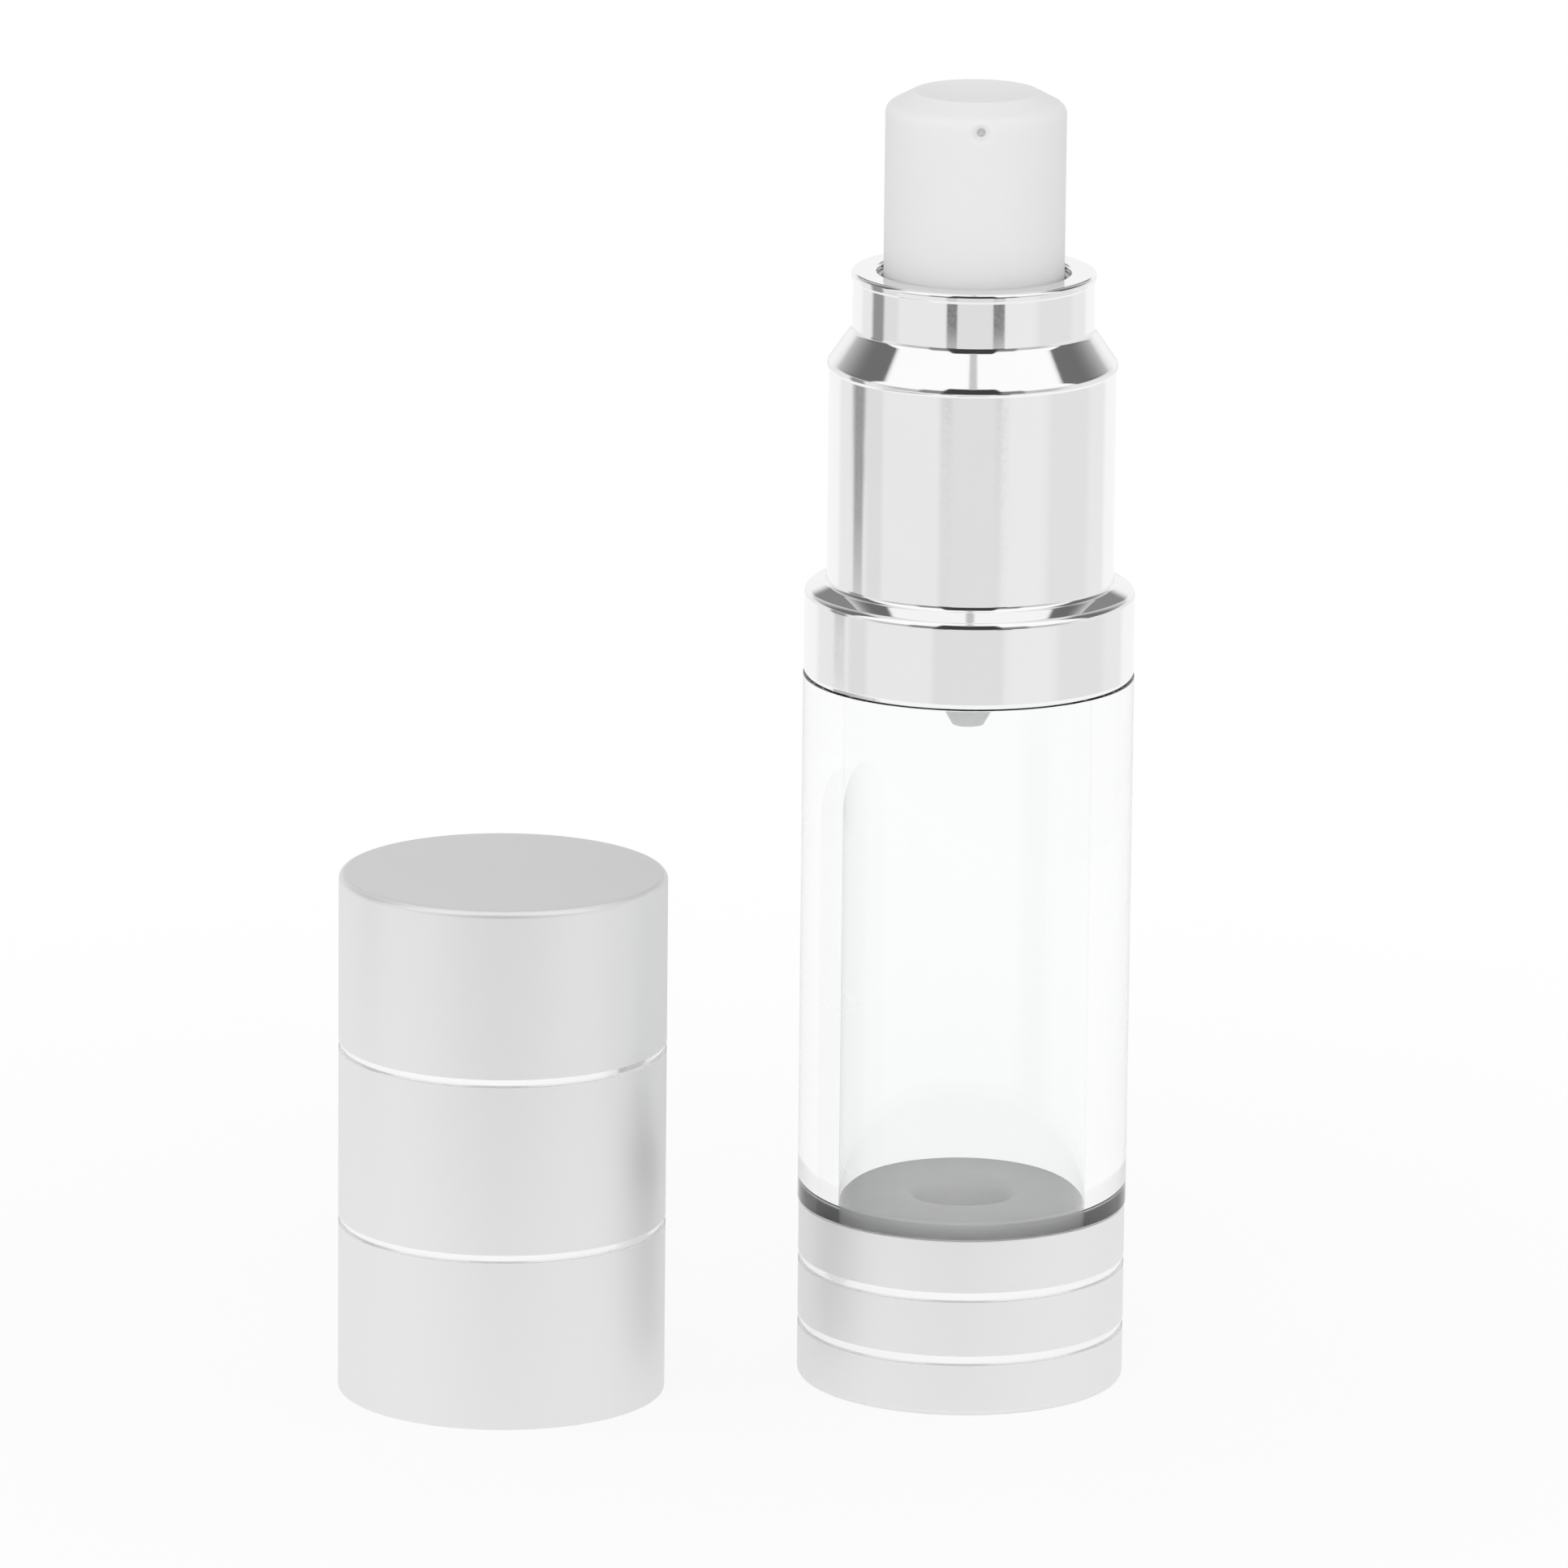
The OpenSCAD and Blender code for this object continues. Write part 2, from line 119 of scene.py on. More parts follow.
# Extra points at even spacing wherever two neighbours are further apart than that.
def divided(outline, spacing, isClosed, low=-1e9, high=1e9):
    ends = np.roll(outline, -1, 0) if isClosed else np.vstack([outline[1:], outline[-1:]])
    parts = []
    for here, there in zip(outline, ends):
        inside = min(here[1], there[1]) >= low - 1e-6 and max(here[1], there[1]) <= high + 1e-6
        count = max(1, math.ceil(np.linalg.norm(there - here) / spacing)) if inside else 1
        share = np.arange(count)[:, None] / count
        parts.append(here + (there - here) * share)
    return np.concatenate(parts)


# Four-cornered faces that join point (i, j) of a grid to its neighbours in the next row and column.
# The columns close round, and the rows do so when asked.
def gridFaces(rows, columns, closeRows=False):
    i = np.arange(rows if closeRows else rows - 1)[:, None]
    j = np.arange(columns)[None]
    nextI, nextJ = (i + 1) % rows, (j + 1) % columns
    faces = [i * columns + j, i * columns + nextJ, nextI * columns + nextJ, nextI * columns + j]
    return np.stack(np.broadcast_arrays(*faces), -1).reshape(-1, 4)


# A smooth mesh with its finish, put on its body in place of the named nodes
def makePiece(name, points, faces, finish, body, slotName, nodes, sharpDegrees=38):
    mesh = bpy.data.meshes.new(name)
    mesh.from_pydata(points.tolist(), [], [f.tolist() for f in faces])
    mesh.update()
    mesh.shade_smooth()
    mesh.set_sharp_from_angle(angle=math.radians(sharpDegrees))
    mesh.materials.append(finish)
    piece = bpy.data.objects.new(name, mesh)
    scene.collection.objects.link(piece)
    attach(piece, body)
    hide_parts(*nodes)
    print("piece", name, len(faces), "faces")
    return piece


# A turned surface: the outline (r, z) carried round the axis, x = r cos a, y = r sin a.
# Where the outline starts and ends on the axis, one point closes each pole.
# offset(a, r, z) adds to the radius, which raises a thread from the same grid.
def turned(outline, around=240, offset=None, centre=(0.0, 0.0), startAngle=0.0):
    hasPoles = outline[0, 0] < 1e-9
    rows = outline[1:-1] if hasPoles else outline
    angle = startAngle + np.arange(around) * 2 * np.pi / around
    radius = np.repeat(rows[:, 0:1], around, 1)
    height = np.repeat(rows[:, 1:2], around, 1)
    if offset is not None:
        radius = radius + offset(angle[None] + 0 * radius, radius, height)
    points = np.stack([radius * np.cos(angle), radius * np.sin(angle), height], -1).reshape(-1, 3)
    faces = list(gridFaces(len(rows), around, closeRows=not hasPoles))
    if hasPoles:
        poles = np.array([[0, 0, outline[0, 1]], [0, 0, outline[-1, 1]]])
        j = np.arange(around)
        last = len(rows) * around
        faces += list(np.stack([last + 0 * j, (j + 1) % around, j], 1))
        top = (len(rows) - 1) * around
        faces += list(np.stack([top + j, top + (j + 1) % around, last + 1 + 0 * j], 1))
        points = np.vstack([points, poles])
    points[:, 0] += centre[0]
    points[:, 1] += centre[1]
    return points * mm, faces


polishBand = {"margin": 0.02, "deepest": 0.35, "shallowest": 0.005}


# Marks the points that lie inside one of the polished grooves: those within half its width and the
# margin of its height, between the shallowest and the deepest distance under the wall.
def markPolish(piece, heights, width, wallRadius, centre=(0.0, 0.0)):
    mesh = piece.data
    points = np.empty(len(mesh.vertices) * 3)
    mesh.vertices.foreach_get("co", points)
    points = points.reshape(-1, 3) / mm
    radius = np.hypot(points[:, 0] - centre[0], points[:, 1] - centre[1])
    inside = np.zeros(len(points))
    for height in heights:
        isNear = np.abs(points[:, 2] - height) < width / 2 + polishBand["margin"]
        isBelow = radius < wallRadius - polishBand["shallowest"]
        isAbove = radius > wallRadius - polishBand["deepest"]
        inside[isNear & isAbove & isBelow] = 1
    mesh.attributes.new("polish", "FLOAT", "POINT").data.foreach_set("value", inside)


# Materials

noiseSpan = (0.3, 0.7)  # the part of 0 to 1 that nearly all of the noise covers


# A material, its nodes and its shader, with the named sockets set
def newMaterial(name, **values):
    material = bpy.data.materials.new(name)
    material.use_nodes = True
    shader = material.node_tree.nodes["Principled BSDF"]
    for socket, value in values.items():
        shader.inputs[socket.replace("_", " ")].default_value = value
    return material, material.node_tree, shader


# A node with its links made. in_NAME sets a socket, and any other name sets the node itself.
def addNode(tree, kind, links=(), **settings):
    node = tree.nodes.new(kind)
    for key, value in settings.items():
        if key.startswith("in_"):
            slot = key[3:]
            node.inputs[int(slot) if slot.isdigit() else slot].default_value = value
        else:
            setattr(node, key, value)
    for socket, source in links:
        tree.links.new(source, node.inputs[socket])
    return node


# Noise on Object coordinates, optionally stretched, as a value from 0 to 1
def grain(tree, scale, detail=3.0, stretch=(1, 1, 1)):
    place = addNode(tree, "ShaderNodeTexCoord")
    turn = addNode(tree, "ShaderNodeMapping", [("Vector", place.outputs["Object"])], in_Scale=stretch)
    noise = addNode(tree, "ShaderNodeTexNoise", [("Vector", turn.outputs["Vector"])],
                    in_Scale=scale, in_Detail=detail)
    return noise.outputs["Fac"]


# Noise carried to the range from low to high
def between(tree, fac, low, high):
    span = addNode(tree, "ShaderNodeMapRange", [("Value", fac)])
    span.inputs["From Min"].default_value = noiseSpan[0]
    span.inputs["From Max"].default_value = noiseSpan[1]
    span.inputs["To Min"].default_value = low
    span.inputs["To Max"].default_value = high
    return span.outputs["Result"]


# A colour from first to second as the factor goes from 0 to 1
def blendColour(tree, fac, first, second):
    mix = addNode(tree, "ShaderNodeMix", [("Factor", fac)], data_type="RGBA")
    mix.inputs[6].default_value = (*first, 1)
    mix.inputs[7].default_value = (*second, 1)
    return mix.outputs[2]


# Relief of the given depth in metres
def addBump(tree, shader, fac, distance, strength=1.0):
    bump = addNode(tree, "ShaderNodeBump", [("Height", fac)], in_Distance=distance, in_Strength=strength)
    tree.links.new(bump.outputs["Normal"], shader.inputs["Normal"])


# Colour, roughness and relief of a plain finish: a cloudy colour, and one fine grain for the other two
def mouldedPlastic(name, low, high, roughness, grainScale=900.0, relief=0.00001, **values):
    material, tree, shader = newMaterial(name, **values)
    cloud = grain(tree, scale=60.0, detail=2.0)
    fine = grain(tree, grainScale, detail=4.0)
    tree.links.new(blendColour(tree, cloud, low, high), shader.inputs["Base Color"])
    tree.links.new(between(tree, fine, *roughness), shader.inputs["Roughness"])
    addBump(tree, shader, fine, relief)
    return material


# Fine satin with clouds drawn out along the height, and bright where the polish attribute is 1
def satinAluminium():
    material, tree, shader = newMaterial("satinAluminium", Metallic=0.55)
    fine = grain(tree, scale=5200.0, detail=2.0)
    cloud = grain(tree, scale=45.0, detail=3.0, stretch=(1, 1, 0.25))
    polish = addNode(tree, "ShaderNodeAttribute", attribute_name="polish")
    satin = blendColour(tree, cloud, (0.835, 0.835, 0.837), (0.86, 0.86, 0.862))
    tint = addNode(tree, "ShaderNodeMix", [("Factor", polish.outputs["Fac"]), (6, satin)], data_type="RGBA")
    tint.inputs[7].default_value = (0.97, 0.97, 0.97, 1)
    tree.links.new(tint.outputs[2], shader.inputs["Base Color"])
    matt = between(tree, fine, low=0.38, high=0.44)
    rough = addNode(tree, "ShaderNodeMix", [("Factor", polish.outputs["Fac"]), (2, matt)], data_type="FLOAT")
    rough.inputs[3].default_value = 0.12
    tree.links.new(rough.outputs[0], shader.inputs["Roughness"])
    addBump(tree, shader, fine, distance=0.000004, strength=0.6)
    return material


# Mirror-bright metal with the faint wave of a drawn skin
def mirrorAluminium():
    material, tree, shader = newMaterial("mirrorAluminium", Metallic=1.0)
    wave = grain(tree, scale=180.0, detail=1.0)
    fine = grain(tree, scale=3000.0, detail=2.0)
    tint = blendColour(tree, wave, (0.925, 0.925, 0.928), (0.94, 0.94, 0.943))
    tree.links.new(tint, shader.inputs["Base Color"])
    tree.links.new(between(tree, fine, low=0.05, high=0.08), shader.inputs["Roughness"])
    addBump(tree, shader, wave, distance=0.000012, strength=0.6)
    return material


# Clear, polished plastic with a faint wave
def clearAcrylic():
    material, tree, shader = newMaterial(
        "clearAcrylic", Transmission_Weight=1.0, IOR=1.49, Base_Color=(0.985, 0.99, 0.99, 1))
    wave = grain(tree, scale=120.0, detail=1.0)
    tree.links.new(between(tree, wave, low=0.0, high=0.02), shader.inputs["Roughness"])
    addBump(tree, shader, wave, distance=0.00001, strength=0.5)
    return material


# Frosted plastic that light enters a little way
def frostedPlastic():
    material, tree, shader = newMaterial(
        "frostedPlastic", IOR=1.49, Subsurface_Weight=0.35, Subsurface_Scale=0.0012,
        Subsurface_Radius=(1.0, 1.0, 1.0), Specular_IOR_Level=0.35)
    fine = grain(tree, scale=2600.0, detail=3.0)
    cloud = grain(tree, scale=120.0, detail=2.0)
    tint = blendColour(tree, cloud, (0.80, 0.80, 0.80), (0.825, 0.825, 0.825))
    tree.links.new(tint, shader.inputs["Base Color"])
    tree.links.new(between(tree, fine, low=0.5, high=0.62), shader.inputs["Roughness"])
    addBump(tree, shader, fine, distance=0.000006, strength=0.7)
    return material


satin = satinAluminium()
mirror = mirrorAluminium()
acrylic = clearAcrylic()
frosted = frostedPlastic()
followerGrey = mouldedPlastic("followerGrey", (0.66, 0.66, 0.66), (0.69, 0.69, 0.69), (0.45, 0.6))
whitePlastic = mouldedPlastic("whitePlastic", (0.80, 0.80, 0.79), (0.84, 0.84, 0.83), (0.35, 0.5))
naturalPlastic = mouldedPlastic(
    "naturalPlastic", (0.88, 0.885, 0.885), (0.91, 0.915, 0.915), (0.35, 0.5),
    Subsurface_Weight=0.25, Subsurface_Scale=0.001, Subsurface_Radius=(1.0, 1.0, 1.0))
sealPlastic = mouldedPlastic("sealPlastic", (0.74, 0.74, 0.72), (0.79, 0.79, 0.77), (0.3, 0.42))
gasketFoam = mouldedPlastic(
    "gasketFoam", (0.76, 0.76, 0.74), (0.82, 0.82, 0.80), (0.75, 0.9), grainScale=3500.0, relief=0.00004)
springSteel = mouldedPlastic(
    "springSteel", (0.60, 0.60, 0.60), (0.66, 0.66, 0.66), (0.22, 0.34), grainScale=2500.0, relief=0.000003,
    Metallic=1.0)
ballSteel = mouldedPlastic(
    "ballSteel", (0.66, 0.66, 0.67), (0.70, 0.70, 0.71), (0.08, 0.14), grainScale=1500.0, relief=0.000001,
    Metallic=1.0)
print("materials made")


# Bottle

bottleTube = {
    "radius": 14.0, "bore": 10.5, "foot": 2.65, "step": 15.45, "footRadius": 13.2,
    "shoulder": 61.4, "neckRadius": 11.8, "neckTop": 66.4,
    "threadCrest": 0.65, "threadStart": 62.35, "threadDegrees": (0.0, 450.0),
    "threadSpacing": 0.09, "threadFoot": 0.05, "threadHead": 0.1, "spacing": 3.0, "around": 288,
}
threadShape = {"pitch": 2.4, "crestWidth": 0.6, "rootWidth": 1.25, "fadeDegrees": 35.0}


# Share of a helical ridge's full height: a trapezium across it, centred on start + pitch * turn, whose
# ends fade as 3 s^2 - 2 s^3 over fadeDegrees. The grid's angles are radians, the ridge's ends degrees.
def ridge(angle, height, start, degrees, shape):
    total = np.zeros_like(height)
    halfRoot, halfCrest = shape["rootWidth"] / 2, shape["crestWidth"] / 2
    for turn in range(-1, 3):  # every turn that can pass over an angle
        along = np.degrees(angle) + 360.0 * turn
        away = np.abs(height - start - shape["pitch"] * along / 360.0)
        across = np.clip((halfRoot - away) / (halfRoot - halfCrest), 0, 1)
        fade = np.clip(np.minimum(along - degrees[0], degrees[1] - along) / shape["fadeDegrees"], 0, 1)
        fade = fade * fade * (3 - 2 * fade)
        total = np.maximum(total, across * fade)
    return total


# The tube's wall: foot, step over the sleeve, shoulder and neck, with close rows where the thread lies
def tubeOutline(t):
    corners = [
        (t["bore"], t["foot"], 0.2), (t["footRadius"], t["foot"], 0.2),
        (t["footRadius"], t["step"], 0.12), (t["radius"], t["step"], 0.14),
        (t["radius"], t["shoulder"], 0.05), (t["neckRadius"], t["shoulder"], 0.12),
        (t["neckRadius"], t["neckTop"], 0.15), (t["bore"], t["neckTop"], 0.15),
    ]
    low, high = t["shoulder"] + t["threadFoot"], t["neckTop"] - t["threadHead"]
    outline = divided(rounded(corners, True), t["threadSpacing"], True, low, high)
    return divided(outline, t["spacing"], True)


# The thread stands out of the neck by its crest's height times the ridge.
def neckOffset(angle, radius, height):
    onNeck = np.abs(radius - bottleTube["neckRadius"]) < nearWall
    bump = ridge(angle, height, bottleTube["threadStart"], bottleTube["threadDegrees"], threadShape)
    return np.where(onNeck, bump * bottleTube["threadCrest"], 0)


makePiece("tube", *turned(tubeOutline(bottleTube), bottleTube["around"], neckOffset), acrylic,
          "bottle", "clear_tube", ["bottle_tube"])


# Corners of one turned groove in a wall, upwards: in over a short ledge, and out along a bright slope
def grooveCorners(wall, height, width, depth=0.2, ledge=0.02):
    return [(wall, height - width / 2), (wall - depth, height - width / 2 + ledge),
            (wall, height + width / 2, 0.03)]


baseSleeve = {"radius": 13.9, "wall": 0.6, "height": 15.4, "lip": 2.5, "edge": 0.5,
              "grooves": (4.87, 10.43), "grooveWidth": 0.85, "spacing": 3.0, "around": 256}


# A thin wall with its grooves, open above and turned in at the foot
def sleeveOutline(s):
    inner = s["radius"] - s["wall"]
    corners = [(s["radius"] - s["lip"], 0.0, 0.06), (s["radius"], 0.0, s["edge"])]
    for height in s["grooves"]:
        corners += grooveCorners(s["radius"], height, s["grooveWidth"])
    corners += [
        (s["radius"], s["height"], 0.1), (inner, s["height"], 0.08),
        (inner, s["wall"], 0.2), (s["radius"] - s["lip"], s["wall"], 0.06),
    ]
    return divided(rounded(corners, True), s["spacing"], True)


sleeve = makePiece("baseRing", *turned(sleeveOutline(baseSleeve), baseSleeve["around"]), satin,
                   "bottle", "satin_metal", ["base_sleeve"])
markPolish(sleeve, baseSleeve["grooves"], baseSleeve["grooveWidth"], baseSleeve["radius"])


follower = {"top": 16.4, "foot": 4.45, "lip": 10.45, "lipHeight": 2.6, "waist": 9.9, "skirt": 8.9,
            "dimple": 4.3, "dimpleFloor": 2.9, "dimpleDepth": 3.7, "dimpleWall": 1.2, "roof": 1.3,
            "footLip": 0.85, "waistFoot": 1.55, "waistFade": 0.7, "spacing": 2.0, "around": 192}


# A skirt with a lip at each end and a slimmer waist, under a roof whose dimple takes the pump's nub
def followerOutline(f):
    hollow = f["top"] - f["dimpleDepth"] - f["dimpleWall"]
    corners = [
        (0.0, hollow), (f["dimpleFloor"] + f["dimpleWall"], hollow, 0.4),
        (f["dimple"] + f["dimpleWall"], f["top"] - f["roof"], 0.4),
        (f["skirt"], f["top"] - f["roof"], 0.4), (f["skirt"], f["foot"], 0.2), (f["lip"], f["foot"], 0.25),
        (f["lip"], f["foot"] + f["footLip"], 0.15), (f["waist"], f["foot"] + f["waistFoot"], 0.3),
        (f["waist"], f["top"] - f["lipHeight"] - f["waistFade"], 0.3),
        (f["lip"], f["top"] - f["lipHeight"], 0.15),
        (f["lip"], f["top"], 0.25), (f["dimple"], f["top"], 1.4),
        (f["dimpleFloor"], f["top"] - f["dimpleDepth"], 0.9),
        (0.0, f["top"] - f["dimpleDepth"]),
    ]
    return divided(rounded(corners, False), f["spacing"], False)


makePiece("follower", *turned(followerOutline(follower), follower["around"]), followerGrey,
          "follower", "follower_plastic", ["follower_piston"])
print("bottle made")


# Pump

returnSpring = {"coil": 3.4, "wire": 0.3, "low": 62.35, "high": 70.05, "turns": 5.0,
                "perTurn": 48, "sides": 12, "tightening": 0.25, "keep": 0.39,
                "anchor": 0.06205}  # metres


# A round wire carried along a helix: the coil's centre turns evenly while its height follows
# t - k sin(2 pi t) / 2 pi, which closes the end turns. Each end narrows to one closing point.
def springSurface(s):
    count = int(s["perTurn"] * s["turns"]) + 1
    t = np.linspace(0, 1, count)
    turn = 2 * np.pi * s["turns"] * t
    height = s["low"] + (s["high"] - s["low"]) * (t - s["tightening"] * np.sin(2 * np.pi * t) / (2 * np.pi))
    around = 2 * np.pi * np.arange(s["sides"]) / s["sides"]
    radius = s["coil"] + s["wire"] * np.cos(around)[None]
    points = np.stack([
        radius * np.cos(turn)[:, None], radius * np.sin(turn)[:, None],
        height[:, None] + s["wire"] * np.sin(around)[None],
    ], -1).reshape(-1, 3)
    faces = list(gridFaces(count, s["sides"])[:, ::-1])
    ends = np.stack([
        s["coil"] * np.cos(turn[[0, -1]]), s["coil"] * np.sin(turn[[0, -1]]), height[[0, -1]]], -1)
    j = np.arange(s["sides"])
    nextJ = (j + 1) % s["sides"]
    last = count * s["sides"]
    top = (count - 1) * s["sides"]
    faces += list(np.stack([j, nextJ, last + 0 * j], 1))
    faces += list(np.stack([top + nextJ, top + j, last + 1 + 0 * j], 1))
    return np.vstack([points, ends]) * mm, faces


spring = makePiece("returnSpring", *springSurface(returnSpring), springSteel,
                   "pump", "spring_wire", ["return_spring"])
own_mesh(spring)
print("pump made")


# Collar

collarShell = {"foot": 61.42, "footIn": 0.12, "footRise": 0.4, "band": 13.95, "wall": 0.5,
               "flangeEdge": 68.32, "flangeArc": 0.65, "flangeFillet": 0.5, "flangeTilt": 68.0,
               "sleeve": 12.1, "bead": 12.26, "beadEdge": 87.98, "beadArc": 0.9,
               "neckFillet": 0.8, "shoulderTilt": 34.7, "throatFoot": 91.48, "throatOut": 10.2,
               "neckTop": 10.165, "throat": 8.15, "lip": 10.3, "top": 96.1,
               "beadStep": 0.2, "lipFoot": 0.8, "lipRise": 0.68, "innerThroat": 0.5, "innerBead": 0.2,
               "innerSleeve": 1.08, "innerStep": (0.2, 0.73), "innerFlange": (0.25, 0.2),
               "innerBand": 0.12, "arcDegrees": 5.0, "spacing": 2.5, "around": 320}


# The drawn shell: outside upwards over band, flange, sleeve, shoulder and lip, then down inside
def collarOutline(c):
    w = c["wall"]
    flange = slopeIn(c["band"], c["flangeEdge"], c["flangeArc"], c["sleeve"], c["flangeFillet"],
                     c["flangeTilt"])
    shoulder = slopeIn(c["bead"], c["beadEdge"], c["beadArc"], c["throatOut"], c["neckFillet"],
                       c["shoulderTilt"])
    corners = [
        (c["band"] - w, c["foot"], 0.06), (c["band"] - c["footIn"], c["foot"], 0.02),
        (c["band"], c["foot"] + c["footRise"], 0.5), *flange,
        (c["sleeve"], c["beadEdge"] - c["beadStep"], 0.3), *shoulder,
        (c["neckTop"], c["top"] - c["lipFoot"], 0.12), (c["lip"], c["top"] - c["lipRise"], 0.08),
        (c["lip"], c["top"], 0.5), (c["throat"], c["top"], 0.3), (c["throat"], c["top"] - w, 0.04),
        (c["throatOut"] - w, c["top"] - w, 0.2),
        (c["throatOut"] - w, c["throatFoot"] - c["innerThroat"], 0.3),
        (c["sleeve"] - w, c["beadEdge"] + c["innerBead"], 0.3),
        (c["sleeve"] - w, c["flangeEdge"] + c["innerSleeve"], 0.2),
        (c["sleeve"] - c["innerStep"][0], c["flangeEdge"] + c["innerStep"][1], 0.2),
        (c["band"] - w - c["innerFlange"][0], c["flangeEdge"] + c["innerFlange"][1], 0.1),
        (c["band"] - w, c["flangeEdge"] - c["innerBand"], 0.1),
    ]
    return divided(rounded(corners, True, c["arcDegrees"]), c["spacing"], True)


makePiece("collarShell", *turned(collarOutline(collarShell), collarShell["around"]), mirror,
          "collar", "mirror_metal", ["collar_shell"])

collarCore = {"foot": 61.7, "skirtBore": 12.8, "skirt": 13.35, "core": 11.5, "guide": 7.8,
              "guideOut": 9.6, "top": 95.5, "skirtTop": 68.02, "rim": (12.95, 68.45),
              "step": (11.8, 68.92), "coreFoot": 69.27, "coreTop": 87.98, "guideFoot": 90.83,
              "funnelTop": 90.63, "funnelFoot": 87.38, "bore": 10.5, "webTop": 69.2, "webFoot": 68.05,
              "webBore": 5.7, "seat": 12.0, "seatFoot": 67.3, "threadTop": 66.5, "threadEnd": 66.4,
              "threadFoot": 0.1, "threadDepth": 0.7, "threadStart": 61.15,
              "threadDegrees": (180.0, 540.0), "threadSpacing": 0.09, "spacing": 3.0, "around": 256}


# The plastic core: outside upwards to the guide, down the funnel to the web, and the threaded skirt
def coreOutline(c):
    corners = [
        (c["skirtBore"], c["foot"], 0.1), (c["skirt"], c["foot"], 0.1), (c["skirt"], c["skirtTop"], 0.1),
        (*c["rim"], 0.1), (*c["step"], 0.2), (c["core"], c["coreFoot"], 0.1), (c["core"], c["coreTop"], 0.2),
        (c["guideOut"], c["guideFoot"], 0.2), (c["guideOut"], c["top"], 0.12), (c["guide"], c["top"], 0.12),
        (c["guide"], c["funnelTop"], 0.2), (c["bore"], c["funnelFoot"], 0.2), (c["bore"], c["webTop"], 0.3),
        (c["webBore"], c["webTop"], 0.15), (c["webBore"], c["webFoot"], 0.1), (c["seat"], c["webFoot"], 0.1),
        (c["seat"], c["seatFoot"], 0.1), (c["skirtBore"], c["threadTop"], 0.2),
    ]
    low = c["foot"] + c["threadFoot"]
    outline = divided(rounded(corners, True), c["threadSpacing"], True, low, c["threadTop"])
    return divided(outline, c["spacing"], True)


# The thread stands into the skirt's bore by its depth times the ridge.
def coreOffset(angle, radius, height):
    onBore = (np.abs(radius - collarCore["skirtBore"]) < nearWall) & (height < collarCore["threadEnd"])
    bump = ridge(angle, height, collarCore["threadStart"], collarCore["threadDegrees"], threadShape)
    return np.where(onBore, -bump * collarCore["threadDepth"], 0)


makePiece("collarCore", *turned(coreOutline(collarCore), collarCore["around"], coreOffset), whitePlastic,
          "collar", "white_plastic", ["collar_insert"])
print("collar made")


# Actuator

pushButton = {"radius": 7.6, "wall": 1.0, "foot": 87.5, "edge": 110.12, "top": 111.4, "rim": 5.22,
              "dish": 0.7, "ceiling": 107.8, "post": 3.6, "socket": 2.65, "socketTop": 94.3,
              "edgeArc": 1.0, "channel": 1.3, "nozzleHeight": 109.2, "nozzleDegrees": -87.3,
              "windowColumns": 8, "windowRows": 12, "windowHalf": 1.15, "windowGap": 0.02,
              "frameShares": (0.35, 0.7), "wallPoints": 12, "dishRadius": 4.85, "dishRise": 0.9,
              "dishPoints": 9, "arcDegrees": 6.0, "spacing": 1.5, "around": 288}
# The nozzle's dimple and its blind bore, as radius and depth under the wall
nozzleSteps = [(0.97, 0.0), (0.9, 0.012), (0.82, 0.05), (0.74, 0.11), (0.64, 0.2), (0.54, 0.29),
               (0.45, 0.36), (0.39, 0.41), (0.355, 0.47), (0.35, 0.55), (0.35, 0.95), (0.3, 1.0)]


# The button's wall from its inner pole to the pole of its dish, z = top - dish (1 - dishRise s^2) with
# s = r / dishRadius. Rows are even over the nozzle's window, and its first row is given back too.
def buttonOutline(b):
    steps = np.linspace(1, 0, b["dishPoints"])
    dish = [(float(b["dishRadius"] * s), float(b["top"] - b["dish"] * (1 - b["dishRise"] * s * s)))
            for s in steps]
    corners = [
        (0.0, b["nozzleHeight"]), (b["channel"], b["nozzleHeight"], 0.2),
        (b["channel"], b["socketTop"], 0.1), (b["socket"], b["socketTop"], 0.1),
        (b["socket"], b["foot"], 0.15), (b["post"], b["foot"], 0.15), (b["post"], b["ceiling"], 0.3),
        (b["radius"] - b["wall"], b["ceiling"], 0.4), (b["radius"] - b["wall"], b["foot"], 0.1),
        (b["radius"], b["foot"], 0.18), (b["radius"], b["edge"], b["edgeArc"]), (b["rim"], b["top"], 0.25),
    ]
    outline = divided(rounded(corners + dish, False, b["arcDegrees"]), b["spacing"], False)
    low, high = b["nozzleHeight"] - b["windowHalf"], b["nozzleHeight"] + b["windowHalf"]
    first = int(np.argmax((outline[:, 0] > b["radius"] - 1e-6) & (outline[:, 1] > low)))
    before, after = outline[:first], outline[first:]
    heights = np.linspace(low, high, b["windowRows"] + 1)
    wall = after[:b["wallPoints"]]
    window = np.stack([np.interp(heights, wall[:, 1], wall[:, 0]), heights], 1)
    return np.vstack([before, window, after[after[:, 1] > high + b["windowGap"]]]), len(before)


